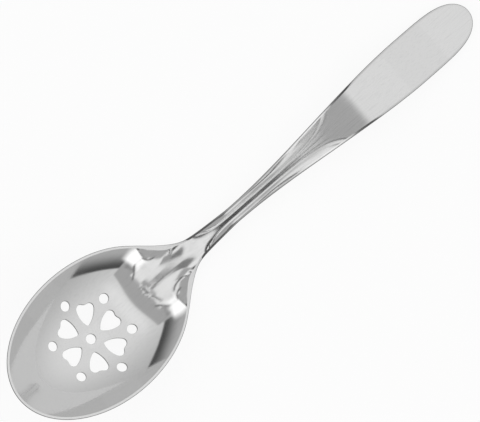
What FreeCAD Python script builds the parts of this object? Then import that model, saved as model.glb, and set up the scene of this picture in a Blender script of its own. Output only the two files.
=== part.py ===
import FreeCAD, Part
import math
import os

from FreeCAD import Vector

# Slotted serving spoon, one piece of stainless steel: stamped bowl, forged neck, arched handle.
# It is drawn square to its bowl: X towards the handle's end, Z up, the rim in the plane Z = 0 and
# the hub hole on the Z axis. The last step turns it into the pose in which it lies on a table.
# All sizes are in millimetres and degrees.

# Bowl: an elliptic dish with a flat land ground on its rim
bowl_length = 92.8
bowl_width = 63.0
bowl_depth = 17.0
hub_gauge = 1.5
rim_land = 1.2
rim_wall = 0.6

# Shoulders, where the dish fades out and the outline runs in to the neck
shoulder_setback = 10.4
shoulder_round = 1.4
fade_run = 20.0
fade_delay = 1.0

# Neck
neck_run = 40.0
neck_rise = 30.0
neck_width = 7.4
neck_gauge = 4.0
neck_flare = 0.06
neck_crown_radius = 10.0
neck_belly_radius = 13.0
crown_run = 18.0

# Handle, measured from the neck's narrowest place
handle_run = 127.1
taper_run = 95.0
bow_run = 98.1
bow_power = 2.5
handle_rise = 27.5
handle_droop = -31.9
grip_blend = 42.0
grip_width = 22.4
grip_gauge = 2.2
grip_crown_radius = 120.0
end_round = 27.0
end_bluntness = 0.9
edge_band = 0.9
edge_angle = 32.0

# Tail, the last of the handle: it levels out again, so that the spoon lies on its bowl and on both of
# the tail's hollow-backed edges
tail_length = 41.1
tail_run = 36.0
tail_rise = 24.0

# Pierced flower: a hub hole, six hearts with their points inwards and six small holes between them
petals = 6
pattern_turn = 2.1
hub_hole = 4.6
ring_hole = 4.4
ring_radius = 18.2
heart_point = 6.0
heart_top = 15.4
heart_width = 8.3
heart_lobe_radius = 2.1
heart_point_radius = 0.9
heart_side_radius = 10.7
heart_notch_depth = 0.45
plain_margin = 3.6

# How softly two slopes or outlines run into each other, and how far the tools reach past the metal
slope_softness = 0.8
tool_margin = 4.0
tool_height = 150.0

half_length = bowl_length / 2
half_width = bowl_width / 2
inner_length = half_length - rim_land
inner_width = half_width - rim_land
pattern_edge = ring_radius + ring_hole / 2 + plain_margin
shoulder_start = half_length - shoulder_setback
dish_fade_start = shoulder_start + fade_delay
dish_fade_end = dish_fade_start + fade_run
neck_place = shoulder_start + neck_run
neck_end = neck_place + crown_run
grip_place = neck_place + taper_run
handle_end = neck_place + handle_run
bow_start = handle_end - bow_run
grip_start = neck_end + grip_blend
tail_start = handle_end - tail_length
straight_end = handle_end - end_round


def ramp(x, start, end):
    """0 before start, 1 after end, and a smooth step between them."""
    t = min(max((x - start) / (end - start), 0.0), 1.0)
    return t * t * (3 - 2 * t)


def between(a, b, share):
    return a + (b - a) * share


def spread(first, last, count):
    """Evenly spaced places after first, the last one included."""
    return [between(first, last, (i + 1) / count) for i in range(count)]


def soft_max(a, b, size):
    """The larger of two lines, with a hyperbola in place of their corner."""
    return (a + b) / 2 + math.hypot((a - b) / 2, size)


def slope_at(x):
    """Slope of the upper surface along the middle: the dish, the handle's rise, its bow and its tail."""
    dish = math.degrees(math.atan(2 * bowl_depth * x / inner_length**2))
    bow = max((x - bow_start) / (handle_end - bow_start), 0.0) ** bow_power
    rise = between(neck_rise, handle_rise, ramp(x, shoulder_start, neck_place))
    rise = between(rise, handle_droop, bow)
    rise = between(rise, tail_rise, ramp(x, tail_start, tail_start + tail_run))
    return -soft_max(-dish, -rise, slope_softness) if x > 0 else dish


def middle_heights(stations):
    """Height of the upper surface along the middle at each station, by adding up its slope."""
    heights = {}
    steps = 40
    for first, last in zip(stations, stations[1:]):
        if last <= 0:
            continue
        start = max(first, 0.0)
        height = heights.get(first, -bowl_depth)
        step = (last - start) / steps
        for i in range(steps):
            height += math.tan(math.radians(slope_at(start + (i + 0.5) * step))) * step
        heights[last] = height
    for x in stations:
        if x <= 0:
            heights[x] = -bowl_depth * (1 - (x / inner_length) ** 2)
    return heights


def outline(x):
    """Half the width of the handle's side of the outline, from the shoulder to the start of the end."""
    root = half_width * math.sqrt(1 - (shoulder_start / half_length) ** 2)
    fall = (half_width / half_length) ** 2 * shoulder_start / root
    shoulder = root - fall * (x - shoulder_start)
    side = between(neck_width / 2, grip_width / 2, ramp(x, neck_place, grip_place))
    side += neck_flare * max(neck_place - x, 0.0)
    return soft_max(shoulder, side, shoulder_round)


def end_narrowing(share):
    """Square of the width over the handle's round end, as a share: 1 at its start, 0 at its tip."""
    return 1 - end_bluntness * share**4 - (1 - end_bluntness) * share**2


def end_reach(width):
    """How far along the round end lies a share of its half width, as a share of its length."""
    left, flat = 1 - end_bluntness, 1 - width**2
    return math.sqrt((math.sqrt(left**2 + 4 * end_bluntness * flat) - left) / (2 * end_bluntness))


def band_line_squared(x):
    """Square of the half width inside the edge band; it goes below zero past the handle's end."""
    band = between(rim_land, edge_band, ramp(x, shoulder_start, neck_place))
    if x <= shoulder_start:
        return inner_width**2 * (1 - (x / inner_length) ** 2)
    if x <= straight_end:
        return (outline(x) - band) ** 2
    share = (x - straight_end) / (end_round - band)
    return (grip_width / 2 - band) ** 2 * end_narrowing(share)


def bend(x, dish, neck, grip):
    """Bend across a surface, 1/mm, passing from the dish through the neck to the handle."""
    share = ramp(x, dish_fade_start, dish_fade_end)
    neck_share = ramp(x, dish_fade_end, dish_fade_end + crown_run)
    grip_share = ramp(x, neck_end, grip_start)
    return dish * (1 - share) + neck * neck_share * (1 - grip_share) + grip * grip_share


def top_bend(x):
    """Hollow in the bowl, crowned on the neck, nearly flat on the handle."""
    return bend(x, 2 * bowl_depth / inner_width**2, -1 / neck_crown_radius, -1 / grip_crown_radius)


def under_bend(x):
    """Round under the bowl and the neck, hollow under the handle, which keeps one gauge across."""
    drop = bowl_depth + hub_gauge - rim_wall
    return bend(x, 2 * drop / half_width**2, 1 / neck_belly_radius, -1 / grip_crown_radius)


def under_middle(x, top):
    """Height of the underside along the middle."""
    drop = bowl_depth + hub_gauge - rim_wall
    dish = -(bowl_depth + hub_gauge) + drop * (x / half_length) ** 2
    if x <= 0:
        return dish
    gauge = between(hub_gauge, neck_gauge, ramp(x, dish_fade_start, neck_place))
    gauge = between(gauge, grip_gauge, ramp(x, neck_place, grip_place))
    forged = top - gauge / math.cos(math.radians(slope_at(x)))
    return between(dish, forged, ramp(x, 0.0, shoulder_start))


def band_bend(x):
    """Bend across the surface that cuts the rim's land and, on the handle, the sloping edge band."""
    side = math.sqrt(max(band_line_squared(min(x, straight_end)), 1.0))
    lean = math.tan(math.radians(edge_angle)) / side
    return -lean * ramp(x, dish_fade_start, dish_fade_end)


def band_middle(x, top):
    """Height of that surface along the middle: the rim's plane, then what puts the band on its line."""
    lift = 0.5 * (top_bend(x) - band_bend(x)) * band_line_squared(x)
    return (top + lift) * ramp(x, shoulder_start, shoulder_start + crown_run)


def reach_at(x):
    """How far the cutting sheets spread to each side of the middle."""
    if x <= 0:
        return half_width + tool_margin
    if x <= shoulder_start:
        return half_width * math.sqrt(1 - (x / half_length) ** 2) + tool_margin
    return outline(x) + tool_margin


def sheet(stations, middle, bend):
    """A surface z = middle(x) + bend(x) y^2 / 2, smooth along X."""
    rows = []
    for side in (-1, 0, 1):
        points = []
        for x, m, b in zip(stations, middle, bend):
            reach = reach_at(x)
            lift = 0.5 * b * reach**2
            points.append(Vector(x, side * reach, m + (lift if side else -lift)))
        curve = Part.BSplineCurve()
        curve.interpolate(Points=points, Parameters=[float(x) for x in stations])
        rows.append(curve)
    surface = Part.BSplineSurface()
    surface.buildFromPolesMultsKnots(
        [list(poles) for poles in zip(*(row.getPoles() for row in rows))],
        rows[0].getMultiplicities(), [3, 3],
        rows[0].getKnots(), [0.0, 1.0],
        False, False, rows[0].Degree, 2,
    )
    return surface.toShape()


def plan_wire():
    """The spoon's outline seen along the bowl's axis: part of an ellipse, two long sides, a blunt end."""
    end_steps = 7
    root = half_width * math.sqrt(1 - (shoulder_start / half_length) ** 2)
    angle = math.acos(shoulder_start / half_length)
    bowl = Part.Ellipse(Vector(0, 0, 0), half_length, half_width)
    bowl_edge = Part.ArcOfEllipse(bowl, angle, 2 * math.pi - angle).toShape()
    widths = [math.sin(math.pi / 2 * (i / end_steps - 1)) for i in range(2 * end_steps + 1)]
    points = [Vector(straight_end + end_round * end_reach(w), w * grip_width / 2, 0) for w in widths]
    end = Part.BSplineCurve()
    end.interpolate(Points=points, InitialTangent=Vector(1, 0, 0), FinalTangent=Vector(-1, 0, 0))
    end_edge = end.toShape()
    places = spread(shoulder_start, dish_fade_end, 5) + spread(dish_fade_end, neck_place, 2)
    places += spread(neck_place, straight_end, 8)[:-1]
    fall = (half_width / half_length) ** 2 * shoulder_start / root
    sides = []
    for sign in (1, -1):
        points = [Vector(shoulder_start, sign * root, 0)]
        points += [Vector(x, sign * outline(x), 0) for x in places]
        points += [Vector(straight_end, sign * grip_width / 2, 0)]
        side = Part.BSplineCurve()
        side.interpolate(Points=points, InitialTangent=Vector(1, -sign * fall, 0), FinalTangent=Vector(1, 0, 0))
        sides.append(side.toShape())
    return Part.Wire(Part.__sortEdges__([bowl_edge, sides[0], end_edge, sides[1]]))


def circle_meet(a, ra, b, rb, left):
    """A point at ra from a and rb from b, on the left or right of the line from a to b."""
    across = b - a
    gap = across.Length
    along = (ra**2 - rb**2 + gap**2) / (2 * gap)
    up = math.sqrt(max(ra**2 - along**2, 0.0))
    unit = across * (1 / gap)
    normal = Vector(-unit.y, unit.x, 0) * (1 if left else -1)
    return a + unit * along + normal * up


def heart_wire():
    """A rounded heart on the X axis, with its point towards the hub: five kinds of tangent arc."""
    point = Vector(heart_point + heart_point_radius, 0, 0)
    lobe = Vector(heart_top - heart_lobe_radius, heart_width / 2 - heart_lobe_radius, 0)
    side = circle_meet(point, heart_side_radius - heart_point_radius, lobe, heart_side_radius - heart_lobe_radius, False)
    floor = heart_top - heart_notch_depth - lobe.x
    notch_radius = (lobe.y**2 + floor**2 - heart_lobe_radius**2) / (2 * (heart_lobe_radius - floor))
    notch = Vector(heart_top - heart_notch_depth + notch_radius, 0, 0)

    def toward(centre, target, radius):
        """The point at the given radius from a centre, in a target's direction."""
        return centre + (target - centre).normalize() * radius

    tip_meet = toward(side, point, heart_side_radius)
    lobe_meet = toward(side, lobe, heart_side_radius)
    notch_meet = toward(notch, lobe, notch_radius)
    chord = (tip_meet + lobe_meet) * 0.5
    side_mid = toward(side, chord, heart_side_radius)
    lobe_mid = lobe + Vector(1, 0.6, 0).normalize() * heart_lobe_radius

    def flip(v):
        return Vector(v.x, -v.y, v.z)

    def arc(a, b, c):
        return Part.Arc(a, b, c).toShape()

    edges = [
        arc(flip(tip_meet), Vector(heart_point, 0, 0), tip_meet),
        arc(tip_meet, side_mid, lobe_meet),
        arc(lobe_meet, lobe_mid, notch_meet),
        arc(notch_meet, Vector(heart_top - heart_notch_depth, 0, 0), flip(notch_meet)),
        arc(flip(notch_meet), flip(lobe_mid), flip(lobe_meet)),
        arc(flip(lobe_meet), flip(side_mid), flip(tip_meet)),
    ]
    return Part.Wire(edges)


def piercings():
    """Punches for the hub hole, the hearts and the small holes, square to the rim."""
    down = Vector(0, 0, -tool_height / 2)
    up = Vector(0, 0, tool_height)
    axis = Vector(0, 0, 1)
    heart = Part.Face(heart_wire())
    heart.translate(down)
    tools = [Part.makeCylinder(hub_hole / 2, tool_height, down)]
    for i in range(petals):
        turn = pattern_turn + i * 360 / petals
        punch = heart.extrude(up)
        punch.rotate(Vector(0, 0, 0), axis, turn)
        drill = Part.makeCylinder(ring_hole / 2, tool_height, down + Vector(ring_radius, 0, 0))
        drill.rotate(Vector(0, 0, 0), axis, turn + 180 / petals)
        tools += [punch, drill]
    return tools


def lying_pose(shape):
    """Turn the spoon about Y until the bowl and the handle's end touch the table, then set its origin."""
    points = shape.tessellate(0.02)[0]
    bowl = [p for p in points if p.x < neck_place]
    handle = [p for p in points if p.x >= neck_place]

    def low(group, angle):
        c, s = math.cos(angle), math.sin(angle)
        return min(p.z * c - p.x * s for p in group)

    first, last = 0.0, math.radians(60)
    for _ in range(40):
        angle = (first + last) / 2
        if low(handle, angle) > low(bowl, angle):
            first = angle
        else:
            last = angle
    shape.rotate(Vector(0, 0, 0), Vector(0, 1, 0), math.degrees(angle))
    box = FreeCAD.BoundBox()
    for point in shape.tessellate(0.005)[0]:
        box.add(point)
    shape.translate(Vector(-box.Center.x, -box.Center.y, -box.ZMin))
    print("tilt of the rim", round(math.degrees(angle), 2), "box", box.XLength, box.YLength, box.ZLength)
    return shape


def make_blank():
    """The spoon before it is pierced: its outline cut by the three sheets, span by span, and joined."""
    tip = -half_length - tool_margin
    far = handle_end + tool_margin
    stations = [tip, -pattern_edge, 0.0, pattern_edge] + spread(pattern_edge, shoulder_start, 2)
    stations += spread(shoulder_start, dish_fade_end, 4) + spread(dish_fade_end, neck_end, 3)
    stations += spread(neck_end, grip_start, 3) + spread(grip_start, far, 7)
    heights = middle_heights(stations)
    top = [heights[x] for x in stations]
    under = [under_middle(x, z) for x, z in zip(stations, top)]
    band = [band_middle(x, z) for x, z in zip(stations, top)]
    up = Vector(0, 0, 2 * tool_height)
    cutters = [
        sheet(stations, band, [band_bend(x) for x in stations]).extrude(up),
        sheet(stations, top, [top_bend(x) for x in stations]).extrude(up),
        sheet(stations, under, [under_bend(x) for x in stations]).extrude(-up),
    ]
    plan = Part.Face(plan_wire())
    plan.translate(Vector(0, 0, -tool_height / 2))
    prism = plan.extrude(Vector(0, 0, tool_height))
    seams = [tip, -pattern_edge, pattern_edge, shoulder_start, dish_fade_end, neck_end, grip_start]
    seams += [straight_end, far]
    width = bowl_width + 2 * tool_margin
    spans = []
    for first, last in zip(seams, seams[1:]):
        corner = Vector(first, -width / 2, -tool_height / 2)
        span = prism.common(Part.makeBox(last - first, width, tool_height, corner))
        for cutter in cutters:
            span = span.cut(cutter)
        spans.append(span)
    return spans[0].fuse(spans[1:])


spoon = make_blank()
for tool in piercings():
    spoon = spoon.cut(tool)
spoon = lying_pose(spoon)
print("solids", len(spoon.Solids), "valid", spoon.isValid(), "volume", spoon.Volume, "faces", len(spoon.Faces))
os.makedirs("parts", exist_ok=True)
spoon.Solids[0].exportStep("parts/spoon.step")
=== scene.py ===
import math

import bmesh
import bpy
import numpy as np
from mathutils import Matrix, Vector


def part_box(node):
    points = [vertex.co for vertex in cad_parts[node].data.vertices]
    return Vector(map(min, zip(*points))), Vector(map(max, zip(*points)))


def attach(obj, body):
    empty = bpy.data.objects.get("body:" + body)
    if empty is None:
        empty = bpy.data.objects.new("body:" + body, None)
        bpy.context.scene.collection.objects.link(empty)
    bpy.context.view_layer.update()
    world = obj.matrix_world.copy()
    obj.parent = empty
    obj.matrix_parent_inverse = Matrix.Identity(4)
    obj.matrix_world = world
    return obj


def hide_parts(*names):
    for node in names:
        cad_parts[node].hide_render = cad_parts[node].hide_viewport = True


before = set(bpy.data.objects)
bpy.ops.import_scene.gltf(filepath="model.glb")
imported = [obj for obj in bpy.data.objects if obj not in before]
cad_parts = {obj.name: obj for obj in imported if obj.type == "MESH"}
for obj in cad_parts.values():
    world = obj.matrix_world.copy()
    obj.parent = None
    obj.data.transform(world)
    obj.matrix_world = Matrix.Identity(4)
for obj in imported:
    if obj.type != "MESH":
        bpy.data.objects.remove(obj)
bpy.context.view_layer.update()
boxLow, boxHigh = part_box("spoon")
bpy.ops.object.select_all(action="DESELECT")

# The spoon is drawn square to its bowl, as in the CAD source: X towards the handle, the rim at
# Z = 0 and the hub hole on the Z axis. Metres and degrees.
bowl = {
    "length": 0.0928,
    "width": 0.063,
    "depth": 0.017,
    "hubGauge": 0.0015,
    "rimLand": 0.0012,
    "rimWall": 0.0006,
    "shoulderSetback": 0.0104,
    "shoulderRound": 0.0014,
    "fadeRun": 0.02,
    "fadeDelay": 0.001,
}
neck = {
    "run": 0.04,
    "rise": 30.0,
    "width": 0.0074,
    "gauge": 0.004,
    "flare": 0.06,
    "crownRadius": 0.01,
    "bellyRadius": 0.013,
    "crownRun": 0.018,
}
handle = {
    "run": 0.1271,
    "taperRun": 0.095,
    "bowRun": 0.0981,
    "bowPower": 2.5,
    "rise": 27.5,
    "droop": -31.9,
    "blend": 0.042,
    "width": 0.0224,
    "gauge": 0.0022,
    "crownRadius": 0.12,
    "endRound": 0.027,
    "endBluntness": 0.9,
    "edgeBand": 0.0009,
    "edgeAngle": 32.0,
    "tailLength": 0.0411,
    "tailRun": 0.036,
    "tailRise": 24.0,
}
piercing = {
    "petals": 6,
    "turn": 2.1,
    "hubHole": 0.0046,
    "ringHole": 0.0044,
    "ringRadius": 0.0182,
    "heartPoint": 0.006,
    "heartTop": 0.0154,
    "heartWidth": 0.0083,
    "lobeRadius": 0.0021,
    "pointRadius": 0.0009,
    "sideRadius": 0.0107,
    "notchDepth": 0.00045,
    "edgeRound": 0.00012,  # soft edge left by polishing
}
meshing = {
    "stations": 4200,  # steps along the middle line
    "tiltStations": 4000,
    "beyondEnd": 0.004,  # the middle line runs on past the handle's end
    "softness": 0.8,  # degrees, where the dish turns into the neck's rise
    "slopeStep": 2e-5,  # for the normals
    "aroundBowl": 241,  # points round the outline: bowl, each long side, handle's end
    "alongSide": 110,
    "aroundEnd": 60,
    "joinRun": 0.0042,  # where each long side leaves the bowl's oval
    "spineStart": -0.018,  # the rings close on the middle line, from here to the handle
    "dishRings": 20,
    "landRings": 3,
    "edgeRound": 0.00022,  # polished corner between land and wall
    "holeSides": 40,
    "roundAngles": (60, 30, 0),  # degrees, where a hole's soft edge has its rings
    "punchSpare": 0.0001,  # how much wider a punch is, clear of the metal
    "punchLip": 0.00006,
    "punchReach": 0.004,
    "ringMerge": 2e-7,  # points nearer than this become one
    "cutMerge": 1e-6,
}
# What the faces belong to. Each part has its own slot until the normals are set.
zones = {"top": 0, "land": 1, "edge": 2, "under": 3, "holeRound": 4, "holeWall": 5}

halfLength = bowl["length"] / 2
halfWidth = bowl["width"] / 2
innerLength = halfLength - bowl["rimLand"]
innerWidth = halfWidth - bowl["rimLand"]
shoulderStart = halfLength - bowl["shoulderSetback"]
fadeStart = shoulderStart + bowl["fadeDelay"]
fadeEnd = fadeStart + bowl["fadeRun"]
neckPlace = shoulderStart + neck["run"]
neckEnd = neckPlace + neck["crownRun"]
gripPlace = neckPlace + handle["taperRun"]
handleEnd = neckPlace + handle["run"]
bowStart = handleEnd - handle["bowRun"]
gripStart = neckEnd + handle["blend"]
tailStart = handleEnd - handle["tailLength"]
straightEnd = handleEnd - handle["endRound"]
gripHalf = handle["width"] / 2
rootHalf = halfWidth * math.sqrt(1 - (shoulderStart / halfLength) ** 2)
underDrop = bowl["depth"] + bowl["hubGauge"] - bowl["rimWall"]


def ramp(x, start, end):
    t = np.clip((x - start) / (end - start), 0, 1)
    return t * t * (3 - 2 * t)


def between(a, b, share):
    return a + (b - a) * share


def softMax(a, b, size):
    return (a + b) / 2 + np.hypot((a - b) / 2, size)


def slopeAt(x):  # slope along the middle of the upper surface, in degrees
    dish = np.degrees(np.arctan(2 * bowl["depth"] * x / innerLength**2))
    bow = np.maximum((x - bowStart) / handle["bowRun"], 0) ** handle["bowPower"]
    rise = between(neck["rise"], handle["rise"], ramp(x, shoulderStart, neckPlace))
    rise = between(rise, handle["droop"], bow)
    tail = ramp(x, tailStart, tailStart + handle["tailRun"])
    rise = between(rise, handle["tailRise"], tail)
    return np.where(x > 0, -softMax(-dish, -rise, meshing["softness"]), dish)


# The height of the middle line is its slope added up, once, in small steps.
stationX = np.linspace(0, handleEnd + meshing["beyondEnd"], meshing["stations"])
stepX = stationX[1] - stationX[0]
stationSlope = np.tan(np.radians(slopeAt(stationX)))
stationSlope[0] = 0.0
stationRise = np.cumsum((stationSlope[1:] + stationSlope[:-1]) / 2 * stepX)
stationRise = np.concatenate([[0], stationRise])


def topMiddle(x):
    dish = -bowl["depth"] * (1 - (x / innerLength) ** 2)
    return np.where(x > 0, np.interp(x, stationX, stationRise - bowl["depth"]), dish)


def outline(x):  # half the width, on the handle's side of the bowl
    fall = (halfWidth / halfLength) ** 2 * shoulderStart / rootHalf
    shoulder = rootHalf - fall * (x - shoulderStart)
    side = between(neck["width"] / 2, gripHalf, ramp(x, neckPlace, gripPlace))
    side = side + neck["flare"] * np.maximum(neckPlace - x, 0)
    return softMax(shoulder, side, bowl["shoulderRound"])


def endNarrowing(share):  # square of the width over the round end, 1 at its start, 0 at its tip
    blunt = handle["endBluntness"]
    return 1 - blunt * share**4 - (1 - blunt) * share**2


def endReach(width):  # how far along the round end a share of its half width lies
    blunt = handle["endBluntness"]
    left, flat = 1 - blunt, 1 - width**2
    return np.sqrt((np.sqrt(left**2 + 4 * blunt * flat) - left) / (2 * blunt))


def bandWidth(x):
    return between(bowl["rimLand"], handle["edgeBand"], ramp(x, shoulderStart, neckPlace))


def bandLineSquared(x):
    band = bandWidth(x)
    dish = innerWidth**2 * (1 - (x / innerLength) ** 2)
    side = (outline(x) - band) ** 2
    share = (x - straightEnd) / (handle["endRound"] - band)
    end = (gripHalf - band) ** 2 * endNarrowing(share)
    return np.where(x <= shoulderStart, dish, np.where(x <= straightEnd, side, end))


def bend(x, dish, neckBend, grip):  # curve across the spoon, from the bowl through neck to handle
    share = ramp(x, fadeStart, fadeEnd)
    neckShare = ramp(x, fadeEnd, fadeEnd + neck["crownRun"])
    gripShare = ramp(x, neckEnd, gripStart)
    return dish * (1 - share) + neckBend * neckShare * (1 - gripShare) + grip * gripShare


def topBend(x):
    dish = 2 * bowl["depth"] / innerWidth**2
    return bend(x, dish, -1 / neck["crownRadius"], -1 / handle["crownRadius"])


def underBend(x):
    dish = 2 * underDrop / halfWidth**2
    return bend(x, dish, 1 / neck["bellyRadius"], -1 / handle["crownRadius"])


def underMiddle(x):
    dish = -(bowl["depth"] + bowl["hubGauge"]) + underDrop * (x / halfLength) ** 2
    gauge = between(bowl["hubGauge"], neck["gauge"], ramp(x, fadeStart, neckPlace))
    gauge = between(gauge, handle["gauge"], ramp(x, neckPlace, gripPlace))
    forged = topMiddle(x) - gauge / np.cos(np.radians(slopeAt(x)))
    return np.where(x <= 0, dish, between(dish, forged, ramp(x, 0.0, shoulderStart)))


def bandBend(x):
    side = np.sqrt(np.maximum(bandLineSquared(np.minimum(x, straightEnd)), 1e-6))  # 1 mm at least
    return -math.tan(math.radians(handle["edgeAngle"])) / side * ramp(x, fadeStart, fadeEnd)


def bandMiddle(x):
    lift = 0.5 * (topBend(x) - bandBend(x)) * bandLineSquared(x)
    return (topMiddle(x) + lift) * ramp(x, shoulderStart, shoulderStart + neck["crownRun"])


def topHeight(x, y):
    return topMiddle(x) + topBend(x) * y**2 / 2


def bandHeight(x, y):
    return bandMiddle(x) + bandBend(x) * y**2 / 2


def underHeight(x, y):
    return underMiddle(x) + underBend(x) * y**2 / 2


def normalOf(height, x, y, side):  # of one of the three surfaces, by small differences
    step = meshing["slopeStep"]
    dx = (height(x + step, y) - height(x - step, y)) / (2 * step)
    dy = (height(x, y + step) - height(x, y - step)) / (2 * step)
    n = np.stack([-dx, -dy, np.ones_like(dx)], -1) * side
    return n / np.linalg.norm(n, axis=-1, keepdims=True)


def lyingTilt():  # the angle at which bowl and tail touch the table together
    x = np.linspace(0, handleEnd, meshing["tiltStations"])
    share = np.clip((x - straightEnd) / handle["endRound"], 0, 1)
    end = gripHalf * np.sqrt(np.maximum(endNarrowing(share), 0))
    half = np.where(x < straightEnd, outline(x), end)
    side = np.where(x > neckPlace, underHeight(x, half), 1)
    low = np.minimum(underHeight(x, 0 * x), side)
    first, last = 0.0, math.radians(60)
    for _ in range(50):  # the range is halved each time
        angle = (first + last) / 2
        z = low * math.cos(angle) - x * math.sin(angle)
        if z[x >= neckPlace].min() > z[x < neckPlace].min():
            first = angle
        else:
            last = angle
    return angle


tilt = lyingTilt()
print("tilt of the rim", round(math.degrees(tilt), 3))


def turned(points):  # from the bowl's own axes to the spoon's as it lies
    c, s = math.cos(tilt), math.sin(tilt)
    x = points[:, 0] * c + points[:, 2] * s
    z = points[:, 2] * c - points[:, 0] * s
    return np.stack([x, points[:, 1], z], -1)


def outlineRing(share, inset=0.0):  # plan points, a share of the way from the edge to the band
    a0 = math.acos(shoulderStart / halfLength)
    a = np.linspace(a0, 2 * math.pi - a0, meshing["aroundBowl"])
    x = between(halfLength, innerLength, share) * np.cos(a)
    outer = halfWidth * np.sin(a)
    inner = np.sign(np.sin(a)) * bandLine(np.minimum(innerLength * np.cos(a), shoulderStart))
    y = between(outer, inner, share)
    rim = np.stack([x - inset * np.cos(a), y - inset * np.sin(a)], -1)

    x = np.linspace(shoulderStart, straightEnd, meshing["alongSide"] + 1)[1:]
    leaving = 1 - ramp(x, shoulderStart, shoulderStart + meshing["joinRun"])
    start = (outline(shoulderStart) - rootHalf) * leaving
    side = between(outline(x) - start, bandLine(x), share) - inset
    right = np.stack([x, -side], -1)

    across = np.sin(np.linspace(-math.pi / 2, math.pi / 2, meshing["aroundEnd"] + 2)[1:-1])
    band = handle["edgeBand"] * share + inset
    x = straightEnd + (handle["endRound"] - band) * endReach(across)
    end = np.stack([x, (gripHalf - band) * across], -1)
    return np.concatenate([rim, right, end, (right * [1, -1])[::-1]])


def bandLine(x):  # half width where the rim's land or the edge band meets the upper surface
    gap = 2 * (bandMiddle(x) - topMiddle(x)) / (topBend(x) - bandBend(x))
    return np.sqrt(np.maximum(gap, 0))


def spine(ring):  # where each point of a ring ends up on the middle line
    along = np.clip(ring[:, 0], meshing["spineStart"], straightEnd)
    return np.stack([along, 0 * along], -1)


def raised(ring, height):
    return np.column_stack([ring, height(ring[:, 0], ring[:, 1])])


def rounded(first, corner, last, count):  # the points of a small round from one ring to another
    t = np.linspace(0, 1, count + 2)[:, None, None]
    return list((1 - t) ** 2 * first + 2 * t * (1 - t) * corner + t**2 * last)


def spoonRings():  # (points, zone of the faces that lead to them), from the top's middle to below
    inner = outlineRing(1.0)
    middle = spine(inner)
    rings = []
    for share in np.linspace(0, 1, meshing["dishRings"] + 1):
        rings.append((raised(between(middle, inner, share), topHeight), zones["top"]))
    soft = meshing["edgeRound"]
    corner = outlineRing(0.0)
    landEdge = outlineRing(0.0, soft)
    for share in np.linspace(0, 1, meshing["landRings"] + 1)[1:]:
        rings.append((raised(between(inner, landEdge, share), bandHeight), zones["land"]))
    top = raised(corner, bandHeight)
    below = raised(corner, underHeight)
    wallTop, wallFoot = top - [0, 0, soft], below + [0, 0, soft]
    foot = raised(landEdge, underHeight)
    for points in rounded(raised(landEdge, bandHeight), top, wallTop, 2)[1:]:
        rings.append((points, zones["edge"]))
    for points in rounded(wallFoot, below, foot, 2):
        rings.append((points, zones["edge"]))
    middle = spine(landEdge)
    for share in np.linspace(1, 0, meshing["dishRings"] + 1)[1:]:
        rings.append((raised(between(middle, landEdge, share), underHeight), zones["under"]))
    return rings


def placeInBox(rings):  # how far the turned spoon moves to lie in the CAD node's box
    points = turned(np.concatenate([ring[0] for ring in rings]))
    low, high = points.min(0), points.max(0)
    middle = (boxLow + boxHigh) / 2
    return np.array([middle.x - (low[0] + high[0]) / 2, middle.y, boxLow.z - low[2]])


def extrudeRings(name, rings, capped):  # a circle, shaped to the first ring, extruded to each next
    bpy.ops.mesh.primitive_circle_add(
        vertices=len(rings[0][0]),
        radius=halfWidth,
        fill_type="NGON" if capped else "NOTHING",
        enter_editmode=True,
    )
    piece = bpy.context.object
    piece.name = piece.data.name = name
    for mark in zoneMarks:
        piece.data.materials.append(mark)
    bm = bmesh.from_edit_mesh(piece.data)
    around = bm.verts.layers.int.new("around")
    for i, vert in enumerate(bm.verts):
        vert[around] = i
        vert.co = rings[0][0][i]
    bmesh.update_edit_mesh(piece.data)
    for points, zone in rings[1:]:
        if capped:
            bpy.ops.mesh.extrude_region_move()
        else:
            bpy.ops.mesh.extrude_edges_move()
        bm = bmesh.from_edit_mesh(piece.data)
        around = bm.verts.layers.int["around"]
        fresh = [vert for vert in bm.verts if vert.select]
        for vert in fresh:
            vert.co = points[vert[around]]
            for face in vert.link_faces:
                if not face.select:
                    face.material_index = zone
        bmesh.update_edit_mesh(piece.data)
    bpy.ops.mesh.select_all(action="SELECT")
    bpy.ops.mesh.remove_doubles(threshold=meshing["ringMerge"])
    bpy.ops.mesh.normals_make_consistent(inside=False)
    bpy.ops.object.mode_set(mode="OBJECT")
    return piece


def arcPoints(centre, radius, first, last, count, hollow=False):  # (points, normals) of one arc
    angles = [math.atan2(p[1] - centre[1], p[0] - centre[0]) for p in (first, last)]
    turn = (angles[1] - angles[0] + math.pi) % (2 * math.pi) - math.pi
    a = angles[0] + turn * (np.arange(count) + 0.5) / count
    out = np.stack([np.cos(a), np.sin(a)], -1)
    return np.array(centre) + radius * out, -out if hollow else out


def circlesMeet(a, ra, b, rb):  # the point at ra from a and rb from b, on the right from a to b
    across = b - a
    gap = np.hypot(*across)
    along = (ra**2 - rb**2 + gap**2) / (2 * gap)
    unit = across / gap
    return a + unit * along + np.array([unit[1], -unit[0]]) * math.sqrt(ra**2 - along**2)


def toward(centre, target, radius):
    return centre + (target - centre) / np.hypot(*(target - centre)) * radius


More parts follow.
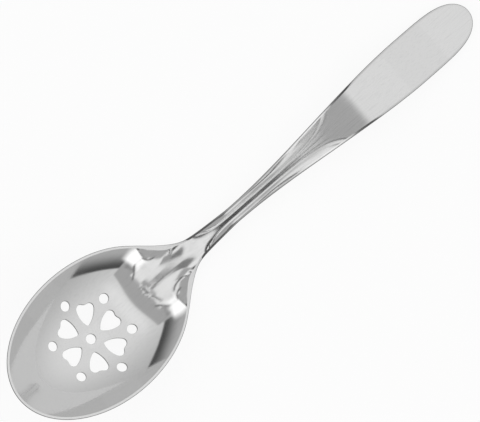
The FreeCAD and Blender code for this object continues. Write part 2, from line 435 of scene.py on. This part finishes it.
def heartProfile():  # five kinds of tangent arc, the point towards the hub
    p = piercing
    point = np.array([p["heartPoint"] + p["pointRadius"], 0])
    lobe = np.array([p["heartTop"] - p["lobeRadius"], p["heartWidth"] / 2 - p["lobeRadius"]])
    toPoint, toLobe = p["sideRadius"] - p["pointRadius"], p["sideRadius"] - p["lobeRadius"]
    side = circlesMeet(point, toPoint, lobe, toLobe)
    floor = p["heartTop"] - p["notchDepth"] - lobe[0]
    notchRadius = lobe[1] ** 2 + floor**2 - p["lobeRadius"] ** 2
    notchRadius = notchRadius / (2 * (p["lobeRadius"] - floor))
    notch = np.array([p["heartTop"] - p["notchDepth"] + notchRadius, 0])
    tip = np.array([p["heartPoint"], 0])
    tipMeet = toward(side, point, p["sideRadius"])
    lobeMeet = toward(side, lobe, p["sideRadius"])
    notchMeet = toward(notch, lobe, notchRadius)
    floorPoint = np.array([p["heartTop"] - p["notchDepth"], 0])
    lobeTop = lobe + [0.0, p["lobeRadius"]]
    arcs = [
        arcPoints(point, p["pointRadius"], tip, tipMeet, 5),
        arcPoints(side, p["sideRadius"], tipMeet, lobeMeet, 9),
        arcPoints(lobe, p["lobeRadius"], lobeMeet, lobeTop, 3),
        arcPoints(lobe, p["lobeRadius"], lobeTop, notchMeet, 8),
        arcPoints(notch, notchRadius, notchMeet, floorPoint, 3, hollow=True),
    ]
    points = np.concatenate([arc[0] for arc in arcs])
    out = np.concatenate([arc[1] for arc in arcs])
    points = np.concatenate([points, (points * [1, -1])[::-1]])
    return points, np.concatenate([out, (out * [1, -1])[::-1]])


def holeProfile(diameter, centreX):
    a = np.arange(meshing["holeSides"]) * 2 * math.pi / meshing["holeSides"]
    out = np.stack([np.cos(a), np.sin(a)], -1)
    return out * diameter / 2 + [centreX, 0], out


def makePunch(name, profile, degrees):  # a punch that leaves the hole's two edges softly rounded
    c, s = math.cos(math.radians(degrees)), math.sin(math.radians(degrees))
    turn = np.array([[c, s], [-s, c]])
    points, out = profile[0] @ turn, profile[1] @ turn
    soft = piercing["edgeRound"]
    clear = soft / 2 + meshing["punchSpare"]
    # How far out and how far below the surface, from clear of the metal to the straight wall.
    steps = [(clear, -meshing["punchReach"]), (clear, -meshing["punchLip"])]
    for angle in meshing["roundAngles"]:
        a = math.radians(angle)
        steps.append((soft * (1 - math.cos(a)), soft * (1 - math.sin(a))))
    rings = []
    for away, depth in steps:
        ring = raised(points + out * away, underHeight)
        rings.append((ring + [0, 0, depth], zones["holeRound"]))
    for i, (away, depth) in enumerate(reversed(steps)):
        ring = raised(points + out * away, topHeight)
        zone = zones["holeRound"] if i else zones["holeWall"]
        rings.append((ring - [0, 0, depth], zone))
    return extrudeRings(name, rings, capped=True)


def pierce(piece):
    punches = [makePunch("hubPunch", holeProfile(piercing["hubHole"], 0.0), 0)]
    for i in range(piercing["petals"]):
        angle = piercing["turn"] + i * 360 / piercing["petals"]
        punches.append(makePunch("heartPunch", heartProfile(), angle))
        ring = holeProfile(piercing["ringHole"], piercing["ringRadius"])
        punches.append(makePunch("ringPunch", ring, angle + 180 / piercing["petals"]))
    bpy.ops.object.select_all(action="DESELECT")
    for punch in punches:
        punch.select_set(True)
    bpy.context.view_layer.objects.active = punches[0]
    bpy.ops.object.join()
    bpy.ops.object.select_all(action="DESELECT")
    bpy.context.view_layer.objects.active = piece
    piece.select_set(True)
    cut = piece.modifiers.new("pierced", "BOOLEAN")
    cut.operation = "DIFFERENCE"
    cut.solver = "EXACT"
    cut.material_mode = "INDEX"
    cut.object = punches[0]
    bpy.ops.object.modifier_apply(modifier=cut.name)
    bpy.data.objects.remove(punches[0])


def cleanEdges(piece):  # what the cut leaves: points on top of each other and slivers
    bpy.ops.object.mode_set(mode="EDIT")
    bpy.ops.mesh.select_all(action="SELECT")
    bpy.ops.mesh.remove_doubles(threshold=meshing["cutMerge"])
    bpy.ops.mesh.dissolve_degenerate(threshold=meshing["cutMerge"])
    bpy.ops.mesh.quads_convert_to_tris()
    bpy.ops.object.mode_set(mode="OBJECT")


def unit(v):
    return v / np.maximum(np.linalg.norm(v, axis=-1, keepdims=True), 1e-12)


def setNormals(piece):  # each face's corners take the normal of the surface the face belongs to
    mesh = piece.data
    mesh.shade_smooth()
    count = len(mesh.vertices)
    co = np.empty(count * 3)
    mesh.vertices.foreach_get("co", co)
    co = co.reshape(-1, 3)
    x, y, z = co.T
    faceNormals = np.array([face.normal[:] for face in mesh.polygons])
    faceAreas = np.array([face.area for face in mesh.polygons])
    faceZones = np.array([face.material_index for face in mesh.polygons])
    loopVerts = np.array([loop.vertex_index for loop in mesh.loops])
    corners = [face.loop_total for face in mesh.polygons]
    loopFaces = np.repeat(np.arange(len(mesh.polygons)), corners)
    loopZones = faceZones[loopFaces]

    top = normalOf(topHeight, x, y, 1)
    land = normalOf(bandHeight, x, y, 1)
    under = normalOf(underHeight, x, y, -1)

    def gathered(wanted):  # normals of the chosen faces, added up at each point
        chosen = np.isin(loopZones, wanted)
        total = np.zeros((count, 3))
        weight = (faceNormals * faceAreas[:, None])[loopFaces[chosen]]
        np.add.at(total, loopVerts[chosen], weight)
        touched = np.zeros(count, bool)
        touched[loopVerts[chosen]] = True
        return total, touched

    edge = unit(gathered([zones["edge"]])[0])
    onLand = gathered([zones["land"]])[1]
    onUnder = gathered([zones["under"]])[1]
    edge[onLand] = land[onLand]
    edge[onUnder] = under[onUnder]

    wall = gathered([zones["holeWall"], zones["holeRound"]])[0]
    wall[:, 2] = 0
    wall = unit(wall)
    soft = piercing["edgeRound"]
    depthTop = topHeight(x, y) - z
    depthUnder = z - underHeight(x, y)
    lean = np.clip(1 - np.minimum(depthTop, depthUnder) / soft, 0, 1)[:, None]
    facing = np.where((depthTop < depthUnder)[:, None], top, under)
    hole = unit(wall * np.sqrt(1 - lean**2) + facing * lean)

    normals = np.empty((len(loopVerts), 3))
    for zone, values in enumerate((top, land, edge, under, hole, hole)):
        here = loopZones == zone
        normals[here] = values[loopVerts[here]]
    mesh.vertices.foreach_set("co", (turned(co) + shift).ravel())
    mesh.normals_split_custom_set(turned(normals).tolist())
    # Painted shade: the outline's edge faces and the hole walls are marked for a darker steel
    # colour, which stands in for the dark surroundings they mirror.
    cut = np.isin(faceZones, [zones["edge"], zones["holeWall"]])
    mark = mesh.attributes.new("paintedEdgeShade", "FLOAT", "FACE")
    mark.data.foreach_set("value", cut.astype(float))
    mesh.materials.clear()
    mesh.materials.append(steel)
    mesh.polygons.foreach_set("material_index", np.zeros(len(mesh.polygons), int))
    mesh.update()


# Steel: noise scales are per metre, heights in metres
finish = {
    "colour": (0.65, 0.65, 0.648),
    "worn": (0.6, 0.6, 0.6),
    "paintedEdgeShade": (0.15, 0.15, 0.15),  # painted shade: the outline and hole walls are darkened to stand in for the dark surroundings they mirror
    "roughness": (0.045, 0.1),  # clean polish, and under smudges
    "waves": 70.0,
    "waveDetail": 1,
    "waveHeight": 0.00002,
    "smudges": 42.0,
    "smudgeDetail": 5,
    "smudgeRange": (0.42, 0.68),  # of the noise, from clean to smudged
    "scratches": 2600.0,
    "scratchDetail": 3,
    "scratchRange": (0.5, 0.75),
    "scratchStretch": 0.035,
    "scratchHeight": 0.0000012,
}


def makeSteel():
    material = bpy.data.materials.new("polishedSteel")
    material.use_nodes = True
    nodes, links = material.node_tree.nodes, material.node_tree.links
    shader = nodes["Principled BSDF"]
    shader.inputs["Metallic"].default_value = 1.0
    place = nodes.new("ShaderNodeTexCoord").outputs["Object"]

    def noise(scale, detail, source):
        node = nodes.new("ShaderNodeTexNoise")
        node.inputs["Scale"].default_value = scale
        node.inputs["Detail"].default_value = detail
        links.new(source, node.inputs["Vector"])
        return node.outputs["Fac"]

    def remap(value, old, new):
        node = nodes.new("ShaderNodeMapRange")
        links.new(value, node.inputs["Value"])
        node.inputs["From Min"].default_value, node.inputs["From Max"].default_value = old
        node.inputs["To Min"].default_value, node.inputs["To Max"].default_value = new
        return node.outputs["Result"]

    def blend(share, second):
        node = nodes.new("ShaderNodeMix")
        node.data_type = "RGBA"
        node.inputs["B"].default_value = (*second, 1)
        links.new(share, node.inputs["Factor"])
        return node

    def bump(height, distance, before=None):
        node = nodes.new("ShaderNodeBump")
        node.inputs["Strength"].default_value = 1.0
        node.inputs["Distance"].default_value = distance
        links.new(height, node.inputs["Height"])
        if before:
            links.new(before, node.inputs["Normal"])
        return node.outputs["Normal"]

    stretch = nodes.new("ShaderNodeMapping")  # polishing lines run along the spoon
    stretch.inputs["Scale"].default_value = (finish["scratchStretch"], 1, 1)
    links.new(place, stretch.inputs["Vector"])
    scratches = noise(finish["scratches"], finish["scratchDetail"], stretch.outputs["Vector"])
    smudges = noise(finish["smudges"], finish["smudgeDetail"], place)
    roughness = remap(smudges, finish["smudgeRange"], finish["roughness"])
    links.new(roughness, shader.inputs["Roughness"])
    worn = blend(remap(scratches, finish["scratchRange"], (0, 1)), finish["worn"])
    worn.inputs["A"].default_value = (*finish["colour"], 1)
    # Painted shade: the marked edge faces and hole walls take the dark colour, in place of the dark
    # reflection they would show.
    edge = nodes.new("ShaderNodeAttribute")
    edge.attribute_name = "paintedEdgeShade"
    darker = blend(edge.outputs["Fac"], finish["paintedEdgeShade"])
    links.new(worn.outputs["Result"], darker.inputs["A"])
    links.new(darker.outputs["Result"], shader.inputs["Base Color"])
    waves = bump(noise(finish["waves"], finish["waveDetail"], place), finish["waveHeight"])
    links.new(bump(scratches, finish["scratchHeight"], waves), shader.inputs["Normal"])
    return material


# Join and cut merge slots of the same material, so each zone has one of its own meanwhile.
zoneMarks = [bpy.data.materials.new(name) for name in zones]
steel = makeSteel()
print("steel", len(steel.node_tree.nodes), "nodes")
rings = spoonRings()
shift = placeInBox(rings)
spoon = extrudeRings("spoonBody", rings, capped=False)
print("blank", len(spoon.data.vertices), "points")
pierce(spoon)
cleanEdges(spoon)
print("pierced", 1 + 2 * piercing["petals"], "holes")
setNormals(spoon)
for mark in zoneMarks:
    bpy.data.materials.remove(mark)
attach(spoon, "root")
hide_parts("spoon")
print("spoon", len(spoon.data.polygons), "faces")


# Studio: soft panels all round, a pale floor, a pale board and the camera
studio = {
    "walls": 0.5,
    "beam": (0.6186, 0.1526, 0.7712),  # square to the beams that frame the ceiling
    "wallBow": 0.0022,  # how the far wall curves, in degrees per square degree across
    "boardBow": 0.009,  # and the pale board
    "floorColour": 0.9,
    "floorRoughness": 0.9,
    "floorSeen": 0.9,  # share of plain white in the floor as the camera sees it
    "floorMirrored": 0.25,  # and as the metal sees it
    "floorSize": 4.0,
}
# Panels of the studio, each over those before it, in degrees as seen from the bowl, square to its
# rim. In each: brightness, what is measured along, from and its softness, to and its softness, then
# from, to and softness across, and how many degrees it leans along per degree across.
# Along: tip is from straight up towards the bowl's tip, out is from straight up to any side,
# beam is from the beams up, and the bows are as tip, but bend towards the tip at the sides.
panels = {
    "ceiling": (1.0, "beam", -0.9, 1.4, 200, 1, -91, 91, 1, 0),
    "horizon": (0.62, "out", 68, 60, 200, 1, -91, 91, 1, 0),
    "ceilingLip": (1.1, "tip", 17, 8, 27, 8, -45, 45, 30, 0),
    "beams": (0.1, "beam", -6.5, 9, -0.9, 1.4, 42, 95, 8, 0),
    "farWall": (0.54, "wallBow", 27.9, 2.4, 60, 1, -1, 53, 2.5, 0),
    "paleBoard": (1.2, "boardBow", 37.1, 0.4, 43, 0.6, -19, 19, 3, 0),
    "lobes": (1.15, "tip", 39.9, 0.5, 46.5, 1, 14, 35, 1.5, 0),
    "lowBoard": (1.06, "tip", 43, 0.8, 46.5, 1, -8, 8, 1, 0),
    "lobeTops": (1.15, "tip", 42.7, 0.6, 46.5, 1, 7, 35, 1.5, 0),
    "footWall": (0.36, "tip", 43.2, 2, 47.4, 1.5, 36, 49, 3, 0),
    "lamps": (1.7, "tip", 46.6, 3.5, 64, 10, 33, 56, 9, 0.22),
    "greyLeft": (0.28, "tip", 41.1, 0.5, 42.85, 0.4, -8.5, -1.2, 1.2, 0),
    "greyOuter": (0.44, "tip", 39.9, 0.6, 42.9, 0.5, -15, -7, 1.5, 0),
    "greyRight": (0.3, "tip", 41.5, 0.5, 44.0, 0.4, 0.7, 5.0, 0.8, 0),
    "greyFar": (0.54, "tip", 39.9, 0.6, 42.4, 0.5, 5, 15, 1.5, 0),
    "boardHole": (0.1, "tip", 44.25, 0.2, 47, 1, -7.5, 2.5, 0.8, 0),
    "slatOne": (0.1, "boardBow", 36.3, 0.4, 38.9, 0.8, -10.1, -9.0, 0.5, 0),
    "slatTwo": (0.1, "boardBow", 36.3, 0.4, 38.4, 0.8, -5.6, -4.6, 0.5, 0),
    "slatThree": (0.1, "boardBow", 36.3, 0.4, 38.8, 0.8, 1.2, 2.3, 0.5, 0),
    "slatFour": (0.1, "boardBow", 36.3, 0.4, 38.6, 0.8, 7.7, 8.8, 0.5, 0),
    "slatFive": (0.1, "boardBow", 36.3, 0.4, 38.5, 0.8, 12.0, 13.1, 0.5, 0),
    "longSlot": (0.08, "tip", 38.3, 0.4, 39.8, 0.4, -8, 6, 3, 0),
    "boardEdge": (0.13, "tip", 41.3, 0.5, 42.4, 0.5, 13, 28, 1.5, 0.2),
    "boardFoot": (0.12, "tip", 41.9, 0.8, 43.7, 0.8, 27, 41, 1.5, 0.59),
}
# These stand on both sides alike.
pairs = ("beams", "farWall", "lobes", "lobeTops", "footWall", "lamps", "boardFoot")
# A pale board above the handle's end, which the camera doesn't see, only the metal.
endBoard = {
    "middle": (0.118, 0.0, 0.3),
    "size": (0.13, 0.2),
    "brightness": 1.03,
}
camera = {
    "lean": 16.0,  # from square to the rim, towards the tip
    "roll": 41.06,
    "lens": 500.0,  # millimetres, as the sensor
    "sensor": 36.0,
    "clipEnd": 50.0,
    "pixel": 0.0004381,  # metres of spoon per pixel of the photograph
    "frameWidth": 480,
    "aimAlong": 196.3,  # pixels from the hub hole to the middle of the frame
    "aimAcross": -1.4,
}


def makeWorld():
    world = bpy.data.worlds.new("softStudio")
    bpy.context.scene.world = world
    world.use_nodes = True
    nodes, links = world.node_tree.nodes, world.node_tree.links

    def calc(operation, *values):
        node = nodes.new("ShaderNodeMath")
        node.operation = operation
        for socket, value in zip(node.inputs, values):
            if isinstance(value, (int, float)):
                socket.default_value = value
            else:
                links.new(value, socket)
        return node.outputs[0]

    def above(angle, start, soft):  # 0 to 1 as the angle passes its start
        rise = nodes.new("ShaderNodeMapRange")
        rise.interpolation_type = "SMOOTHSTEP"
        links.new(angle, rise.inputs["Value"])
        rise.inputs["From Min"].default_value = start - soft / 2
        rise.inputs["From Max"].default_value = start + soft / 2
        return rise.outputs["Result"]

    def inside(angle, first, softFirst, last, softLast):
        return calc("SUBTRACT", above(angle, first, softFirst), above(angle, last, softLast))

    coordinate = nodes.new("ShaderNodeTexCoord")
    turn = nodes.new("ShaderNodeVectorRotate")  # the studio is square to the bowl
    turn.rotation_type = "Y_AXIS"
    turn.inputs["Angle"].default_value = -tilt
    links.new(coordinate.outputs["Generated"], turn.inputs["Vector"])
    axes = nodes.new("ShaderNodeSeparateXYZ")
    links.new(turn.outputs["Vector"], axes.inputs["Vector"])
    x, y, z = axes.outputs
    degrees = 180 / math.pi
    bx, by, bz = studio["beam"]
    beam = calc("ADD", calc("MULTIPLY", x, bx), calc("MULTIPLY", z, bz))
    beam = calc("SUBTRACT", beam, calc("MULTIPLY", calc("ABSOLUTE", y), by))
    measures = {
        "tip": calc("MULTIPLY", calc("ARCTAN2", calc("MULTIPLY", x, -1.0), z), degrees),
        "out": calc("MULTIPLY", calc("ARCCOSINE", z), degrees),
        "beam": calc("MULTIPLY", calc("ARCSINE", beam), degrees),
    }
    across = calc("MULTIPLY", calc("ARCSINE", y), degrees)
    apart = calc("ABSOLUTE", across)
    square = calc("MULTIPLY", across, across)
    for name in ("wallBow", "boardBow"):
        measures[name] = calc("SUBTRACT", measures["tip"], calc("MULTIPLY", square, studio[name]))
    light = studio["walls"]
    for name, panel in panels.items():
        brightness, measure, first, softFirst, last, softLast = panel[:6]
        left, right, softAcross, lean = panel[6:]
        along, side = measures[measure], apart if name in pairs else across
        if lean:
            fromMiddle = calc("SUBTRACT", side, (left + right) / 2)
            along = calc("SUBTRACT", along, calc("MULTIPLY", fromMiddle, lean))
        shape = inside(along, first, softFirst, last, softLast)
        shape = calc("MULTIPLY", shape, inside(side, left, softAcross, right, softAcross))
        mix = nodes.new("ShaderNodeMix")
        links.new(shape, mix.inputs["Factor"])
        if isinstance(light, float):
            mix.inputs["A"].default_value = light
        else:
            links.new(light, mix.inputs["A"])
        mix.inputs["B"].default_value = brightness
        light = mix.outputs["Result"]
    path = nodes.new("ShaderNodeLightPath")  # the camera sees plain white
    plain = nodes.new("ShaderNodeMix")
    links.new(path.outputs["Is Camera Ray"], plain.inputs["Factor"])
    links.new(light, plain.inputs["A"])
    plain.inputs["B"].default_value = 1.0
    background = nodes["Background"]
    background.inputs["Color"].default_value = (1, 1, 1, 1)
    links.new(plain.outputs["Result"], background.inputs["Strength"])


def makeFloor():
    bpy.ops.mesh.primitive_plane_add(size=studio["floorSize"], location=(0, 0, 0))
    floor = bpy.context.object
    floor.name = "floor"
    material = bpy.data.materials.new("paleFloor")
    material.use_nodes = True
    nodes, links = material.node_tree.nodes, material.node_tree.links
    shader = nodes["Principled BSDF"]
    grey = studio["floorColour"]
    shader.inputs["Base Color"].default_value = (grey, grey, grey, 1)
    shader.inputs["Roughness"].default_value = studio["floorRoughness"]
    shader.inputs["Specular IOR Level"].default_value = 0.0
    glow = nodes.new("ShaderNodeEmission")
    path = nodes.new("ShaderNodeLightPath")
    share = nodes.new("ShaderNodeMath")
    share.operation = "MAXIMUM"
    rays = {"Is Camera Ray": studio["floorSeen"], "Is Glossy Ray": studio["floorMirrored"]}
    for socket, (ray, amount) in zip(share.inputs, rays.items()):
        scaled = nodes.new("ShaderNodeMath")
        scaled.operation = "MULTIPLY"
        scaled.inputs[1].default_value = amount
        links.new(path.outputs[ray], scaled.inputs[0])
        links.new(scaled.outputs[0], socket)
    mix = nodes.new("ShaderNodeMixShader")
    links.new(share.outputs[0], mix.inputs["Fac"])
    links.new(shader.outputs["BSDF"], mix.inputs[1])
    links.new(glow.outputs["Emission"], mix.inputs[2])
    links.new(mix.outputs["Shader"], nodes["Material Output"].inputs["Surface"])
    floor.data.materials.append(material)


def makeEndBoard():
    bpy.ops.mesh.primitive_plane_add(size=1, location=endBoard["middle"])
    board = bpy.context.object
    board.name = "endBoard"
    board.scale = (*endBoard["size"], 1)
    board.visible_camera = False
    board.visible_diffuse = False
    board.visible_shadow = False
    material = bpy.data.materials.new("paleBoard")
    material.use_nodes = True
    nodes, links = material.node_tree.nodes, material.node_tree.links
    nodes.remove(nodes["Principled BSDF"])
    glow = nodes.new("ShaderNodeEmission")
    glow.inputs["Strength"].default_value = endBoard["brightness"]
    links.new(glow.outputs["Emission"], nodes["Material Output"].inputs["Surface"])
    board.data.materials.append(material)


def makeCamera():
    away = tilt - math.radians(camera["lean"])
    look = Vector((math.sin(away), 0, math.cos(away)))
    along = Vector((math.cos(away), 0, -math.sin(away)))
    across = Vector((0, 1, 0))
    roll = math.radians(camera["roll"])
    right = along * math.cos(roll) - across * math.sin(roll)
    up = along * math.sin(roll) + across * math.cos(roll)
    hub = Vector((turned(np.array([[0, 0, -bowl["depth"]]])) + shift)[0])
    aim = hub + along * camera["aimAlong"] * camera["pixel"]
    aim = aim + across * camera["aimAcross"] * camera["pixel"]
    data = bpy.data.cameras.new("camera")
    data.lens = camera["lens"]
    data.sensor_width = camera["sensor"]
    data.clip_end = camera["clipEnd"]
    distance = camera["pixel"] * camera["frameWidth"] * camera["lens"] / camera["sensor"]
    place = aim + look * distance
    viewer = bpy.data.objects.new("camera", data)
    bpy.context.scene.collection.objects.link(viewer)
    viewer.matrix_world = Matrix((
        (right.x, up.x, look.x, place.x),
        (right.y, up.y, look.y, place.y),
        (right.z, up.z, look.z, place.z),
        (0, 0, 0, 1),
    ))
    bpy.context.scene.camera = viewer


makeWorld()
makeFloor()
makeEndBoard()
print("studio", len(panels), "panels")
makeCamera()
bpy.context.scene.view_settings.view_transform = "Standard"
